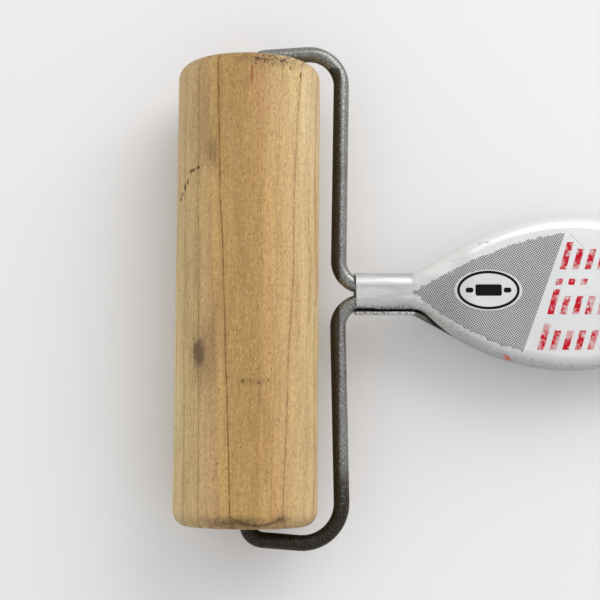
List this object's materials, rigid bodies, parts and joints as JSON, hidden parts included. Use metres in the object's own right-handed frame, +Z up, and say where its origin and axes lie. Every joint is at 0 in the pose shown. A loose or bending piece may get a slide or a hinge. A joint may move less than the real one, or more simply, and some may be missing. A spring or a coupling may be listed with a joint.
{
  "type": "dough roller",
  "caption": "Hand roller for pastry and pizza dough: a wooden roller spinning on a bent steel wire frame held in a hollow stamped aluminium handle with a hanging hole.",
  "frame": {"origin": "on the table, under the centre of the bounding box of the object at rest", "axes": "+X from the roller to the tail of the handle, +Y along the roller's axis, +Z up; the roller and the tail's lower edge rest on Z = 0"},
  "size_m": [0.1638, 0.1098, 0.031],
  "materials": {
    "maple_wood": "bare turned hardwood, worn and stained",
    "steel_wire": "dull dark drawn wire with rubbed highlights",
    "aluminium_sheet": "satin stamped sheet, scuffed on its edges",
    "printed_aluminium_sheet": "satin stamped sheet with a worn dot print and red stripes"
  },
  "bodies": {
    "frame": {"wire_frame": "steel_wire", "handle_lower_shell": "aluminium_sheet", "handle_upper_shell": "printed_aluminium_sheet"},
    "roller": {"roller": "maple_wood"}
  },
  "joints": [
    {"name": "roller_spin", "type": "hinge", "parent": "frame", "child": "roller", "pos_m": [-0.06641, 0.0001, 0.0155], "axis": [0, 1, 0], "continuous": true}
  ]
}
